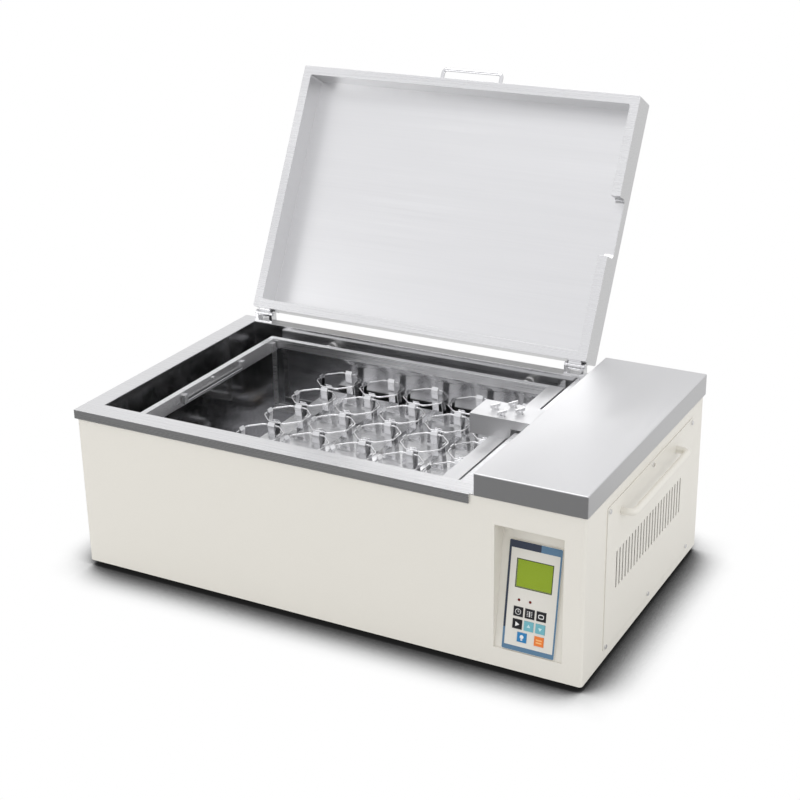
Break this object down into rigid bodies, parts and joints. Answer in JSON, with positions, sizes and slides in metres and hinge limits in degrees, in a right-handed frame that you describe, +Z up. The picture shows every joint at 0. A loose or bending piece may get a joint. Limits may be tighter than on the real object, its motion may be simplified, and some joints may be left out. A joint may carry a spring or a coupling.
{
  "type": "shaking water bath",
  "caption": "Bench water bath with a hinged lid, a crank-driven sliding cradle of spring clamps, a side motor compartment and a recessed keypad.",
  "frame": {"origin": "centre of the base plate's underside", "axes": "+X to the user's right along the long side, +Y to the back, +Z up"},
  "size_m": [1.0585, 0.8512, 0.8214],
  "materials": {
    "cream_enamel": "semi-gloss powder coat",
    "stainless": "fine brushed",
    "polished_steel": "polished",
    "zinc_steel": "zinc plated",
    "alloy": "turned",
    "iron": "painted casting",
    "black_plastic": "matt",
    "key_black": "gloss membrane",
    "key_teal": "gloss membrane",
    "key_blue": "gloss membrane",
    "key_orange": "gloss membrane",
    "panel_slate": "printed membrane",
    "display_green": "liquid crystal",
    "board_green": "solder mask",
    "lamp": "diffused",
    "foam": "foam and foil",
    "roller_plastic": "acetal",
    "belt_rubber": "matt",
    "foot_rubber": "matt",
    "brass_valve": "cast and turned",
    "lever_red": "dipped"
  },
  "bodies": {
    "casing": {"base_plate": "zinc_steel", "rubber_feet": "foot_rubber", "outer_casing": "cream_enamel", "water_tank": "stainless", "tank_rim": "stainless", "tank_insulation": "foam", "bulkhead": "zinc_steel", "motor_cover": "stainless", "side_panel": "cream_enamel", "side_panel_screws": "polished_steel", "carry_handles": "cream_enamel", "panel_pocket": "cream_enamel", "keypad_plate": "panel_slate", "control_board": "board_green", "display_module": "display_green", "indicator_leds": "lamp", "power_supply": "zinc_steel", "power_inlet": "black_plastic", "switch_frame": "black_plastic", "drain_outlet": "brass_valve", "heater_element": "polished_steel", "heater_clips": "stainless", "temperature_probe": "polished_steel", "motor_bracket": "zinc_steel", "drive_motor": "iron", "crank_bearing": "iron", "drive_belt": "belt_rubber", "roller_rails": "stainless", "lid_hinge_leaves": "polished_steel"},
    "lid": {"lid_shell": "stainless", "lid_liner": "stainless", "lid_handle": "polished_steel", "lid_hinge_straps": "polished_steel"},
    "cradle": {"cradle_left_end": "stainless", "cradle_right_end": "stainless", "cradle_rails": "stainless", "cradle_hangers": "stainless", "clamp_tray": "stainless", "clamp_bases": "polished_steel", "clamp_fingers": "polished_steel", "clamp_springs": "polished_steel", "drive_arm": "stainless", "arm_fasteners": "polished_steel"},
    "crank": {"crank_wheel": "alloy"},
    "motor_shaft": {"motor_pulley": "alloy"},
    "rod": {"connecting_rod": "zinc_steel"},
    "rocker": {"switch_rocker": "black_plastic"},
    "drain_valve": {"drain_lever": "lever_red"},
    "wheel_front_left": {"roller_front_left": "roller_plastic"},
    "wheel_front_right": {"roller_front_right": "roller_plastic"},
    "wheel_rear_left": {"roller_rear_left": "roller_plastic"},
    "wheel_rear_right": {"roller_rear_right": "roller_plastic"},
    "body_key_menu": {"key_menu": "key_black"},
    "body_key_timer": {"key_timer": "key_black"},
    "body_key_mode": {"key_mode": "key_black"},
    "body_key_left": {"key_left": "key_black"},
    "body_key_up": {"key_up": "key_teal"},
    "body_key_down": {"key_down": "key_teal"},
    "body_key_light": {"key_light": "key_blue"},
    "body_key_run": {"key_run": "key_orange"}
  },
  "joints": [
    {"name": "lid_hinge", "type": "hinge", "parent": "casing", "child": "lid", "pos_m": [0, 0.277, 0.323], "axis": [1, 0, 0], "range_deg": [0, 118]},
    {"name": "cradle_slide", "type": "slide", "parent": "casing", "child": "cradle", "axis": [1, 0, 0], "range_m": [-0.025, 0]},
    {"name": "crank_turn", "type": "hinge", "parent": "casing", "child": "crank", "pos_m": [0.4, 0.009, 0.287], "axis": [0, 0, 1], "continuous": true},
    {"name": "motor_turn", "type": "hinge", "parent": "casing", "child": "motor_shaft", "pos_m": [0.4, -0.11, 0.287], "axis": [0, 0, 1], "continuous": true},
    {"name": "rod_turn", "type": "hinge", "parent": "crank", "child": "rod", "pos_m": [0.4125, 0.009, 0.2973], "axis": [0, 0, 1], "continuous": true},
    {"name": "rocker_tilt", "type": "hinge", "parent": "casing", "child": "rocker", "pos_m": [0.345, 0.286, 0.06], "axis": [1, 0, 0], "range_deg": [-20, 0]},
    {"name": "drain_turn", "type": "hinge", "parent": "casing", "child": "drain_valve", "pos_m": [-0.38, 0.312, 0.0653], "axis": [0, 0, 1], "range_deg": [0, 90]},
    {"name": "roller_front_left_turn", "type": "hinge", "parent": "cradle", "child": "wheel_front_left", "pos_m": [-0.285, -0.235, 0.2753], "axis": [0, 1, 0], "range_deg": [-144, 0]},
    {"name": "roller_front_right_turn", "type": "hinge", "parent": "cradle", "child": "wheel_front_right", "pos_m": [0.155, -0.235, 0.2753], "axis": [0, 1, 0], "range_deg": [-144, 0]},
    {"name": "roller_rear_left_turn", "type": "hinge", "parent": "cradle", "child": "wheel_rear_left", "pos_m": [-0.285, 0.253, 0.2753], "axis": [0, 1, 0], "range_deg": [-144, 0]},
    {"name": "roller_rear_right_turn", "type": "hinge", "parent": "cradle", "child": "wheel_rear_right", "pos_m": [0.155, 0.253, 0.2753], "axis": [0, 1, 0], "range_deg": [-144, 0]},
    {"name": "key_menu_press", "type": "slide", "parent": "casing", "child": "body_key_menu", "axis": [0, 0.9869, -0.1616], "range_m": [0, 0.0006], "stiffness_N_per_m": 300},
    {"name": "key_timer_press", "type": "slide", "parent": "casing", "child": "body_key_timer", "axis": [0, 0.9869, -0.1616], "range_m": [0, 0.0006], "stiffness_N_per_m": 300},
    {"name": "key_mode_press", "type": "slide", "parent": "casing", "child": "body_key_mode", "axis": [0, 0.9869, -0.1616], "range_m": [0, 0.0006], "stiffness_N_per_m": 300},
    {"name": "key_left_press", "type": "slide", "parent": "casing", "child": "body_key_left", "axis": [0, 0.9869, -0.1616], "range_m": [0, 0.0006], "stiffness_N_per_m": 300},
    {"name": "key_up_press", "type": "slide", "parent": "casing", "child": "body_key_up", "axis": [0, 0.9869, -0.1616], "range_m": [0, 0.0006], "stiffness_N_per_m": 300},
    {"name": "key_down_press", "type": "slide", "parent": "casing", "child": "body_key_down", "axis": [0, 0.9869, -0.1616], "range_m": [0, 0.0006], "stiffness_N_per_m": 300},
    {"name": "key_light_press", "type": "slide", "parent": "casing", "child": "body_key_light", "axis": [0, 0.9869, -0.1616], "range_m": [0, 0.0006], "stiffness_N_per_m": 300},
    {"name": "key_run_press", "type": "slide", "parent": "casing", "child": "body_key_run", "axis": [0, 0.9869, -0.1616], "range_m": [0, 0.0006], "stiffness_N_per_m": 300}
  ],
  "couplings": [
    {"joint": "motor_turn", "follows": "crank_turn", "ratio": 4},
    {"joint": "rod_turn", "follows": "crank_turn", "ratio": -1},
    {"joint": "roller_front_left_turn", "follows": "cradle_slide", "rad_per_m": 100},
    {"joint": "roller_front_right_turn", "follows": "cradle_slide", "rad_per_m": 100},
    {"joint": "roller_rear_left_turn", "follows": "cradle_slide", "rad_per_m": 100},
    {"joint": "roller_rear_right_turn", "follows": "cradle_slide", "rad_per_m": 100}
  ]
}
